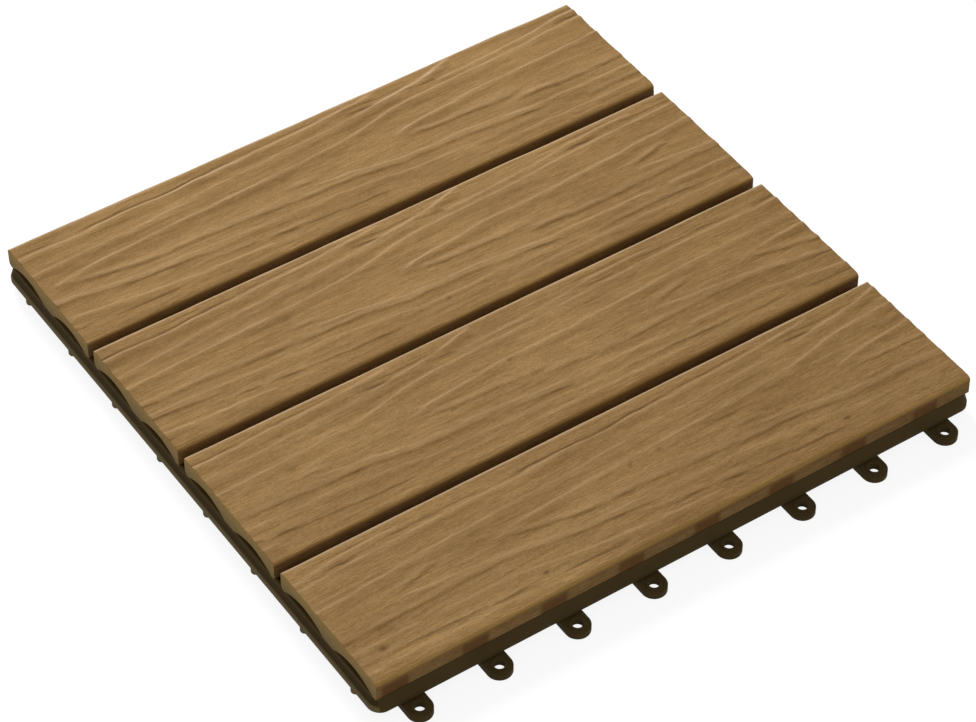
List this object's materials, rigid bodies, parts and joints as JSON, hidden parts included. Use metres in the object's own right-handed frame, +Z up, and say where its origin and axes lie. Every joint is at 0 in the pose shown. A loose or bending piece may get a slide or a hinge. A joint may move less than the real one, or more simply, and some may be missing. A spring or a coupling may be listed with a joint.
{
  "type": "interlocking deck tile",
  "caption": "Square outdoor deck tile: embossed composite slats on a moulded base with eyelets and pegs along its sides",
  "frame": {"origin": "on the floor under the middle of the square tile", "axes": "+Z up, slats along X, eyelets on the -Y and +X sides, pegs on the -X and +Y sides"},
  "size_m": [0.3077, 0.3077, 0.022],
  "materials": {
    "base_plastic": "matte",
    "slat_composite": "matte",
    "screw_steel": "satin"
  },
  "bodies": {
    "root": {"base_grid": "base_plastic", "slat_1": "slat_composite", "slat_2": "slat_composite", "slat_3": "slat_composite", "slat_4": "slat_composite", "screws_slat_1": "screw_steel", "screws_slat_2": "screw_steel", "screws_slat_3": "screw_steel", "screws_slat_4": "screw_steel"}
  },
  "joints": []
}
